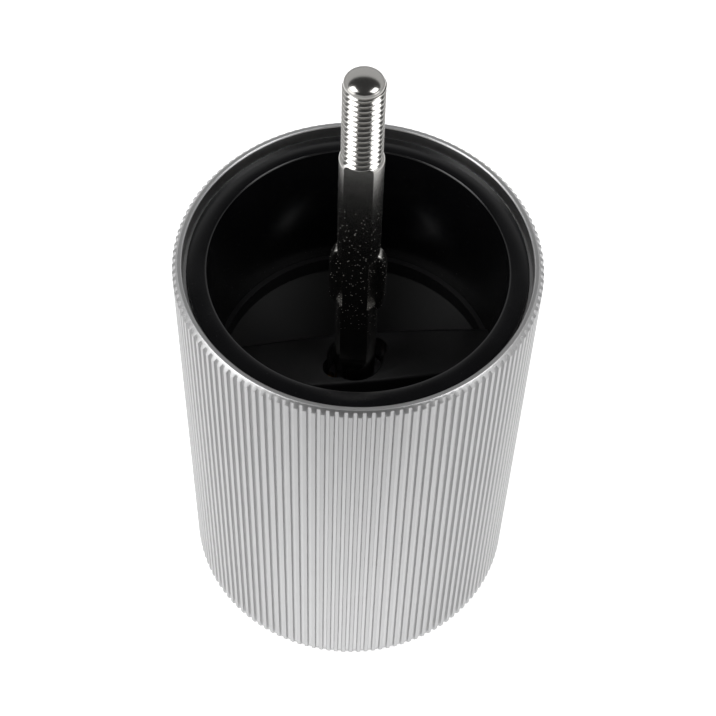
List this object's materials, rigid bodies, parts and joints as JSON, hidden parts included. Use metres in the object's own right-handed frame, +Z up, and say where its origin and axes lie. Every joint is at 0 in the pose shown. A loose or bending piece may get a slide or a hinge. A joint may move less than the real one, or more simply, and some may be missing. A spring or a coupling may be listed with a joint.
{
  "type": "hand coffee grinder body",
  "caption": "Ribbed metal hand grinder body with black hopper liner, keyhole bearing bar, turning drive shaft, conical burrs and a click adjuster underneath.",
  "frame": {"origin": "centre of the shell's base, on the surface that it stands on", "axes": "+Z up along the shaft, the front (the side of the two shaft flats) towards -Y"},
  "size_m": [0.056, 0.056, 0.1176],
  "materials": {
    "ribbed_aluminium": "bead-blasted and clear anodised, satin",
    "black_liner": "smooth moulded black, slight sheen",
    "black_bridge": "moulded black, fine texture",
    "black_housing": "glass-filled black, matt",
    "black_dial": "moulded black",
    "seal_rubber": "soft black",
    "stainless_shaft": "turned and milled stainless",
    "stainless_plate": "stamped stainless, fine grain",
    "spring_steel": "dark spring steel",
    "spring_wire": "bright drawn wire",
    "zinc_screws": "zinc plated",
    "bronze": "sintered bronze",
    "brass": "turned brass",
    "burr_steel": "hardened ground steel",
    "bright_balls": "polished"
  },
  "bodies": {
    "mill_body": {"outer_shell": "ribbed_aluminium", "hopper_liner": "black_liner", "bearing_bridge": "black_bridge", "bridge_screws": "zinc_screws", "shaft_bushing": "bronze", "burr_housing": "black_housing", "housing_o_rings": "seal_rubber", "housing_circlip": "spring_steel", "outer_burr": "burr_steel", "burr_keys": "spring_steel", "burr_retainer": "stainless_plate", "retainer_screws": "zinc_screws"},
    "shaft": {"drive_shaft": "stainless_shaft", "thrust_washers": "bronze", "shaft_clips": "spring_steel", "spring_seat": "stainless_plate", "end_clip": "spring_steel", "burr_spring": "spring_wire"},
    "burr_stage": {"inner_burr": "burr_steel", "burr_hub": "brass", "click_plate": "stainless_plate"},
    "adjuster": {"adjuster_dial": "black_dial", "adjuster_nut": "brass", "detent_balls": "bright_balls", "detent_springs": "spring_wire"}
  },
  "joints": [
    {"name": "shaft_spin", "type": "hinge", "parent": "mill_body", "child": "shaft", "pos_m": [0, 0, 0.05], "axis": [0, 0, 1], "continuous": true},
    {"name": "burr_lift", "type": "slide", "parent": "shaft", "child": "burr_stage", "axis": [0, 0, 1], "range_m": [-0.0012, 0.0004], "deforming": ["burr_spring"]},
    {"name": "adjuster_turn", "type": "hinge", "parent": "burr_stage", "child": "adjuster", "pos_m": [0, 0, 0.014], "axis": [0, 0, 1], "range_deg": [-541, 181]}
  ],
  "couplings": [
    {"joint": "adjuster_turn", "follows": "burr_lift", "rad_per_m": 7854}
  ]
}
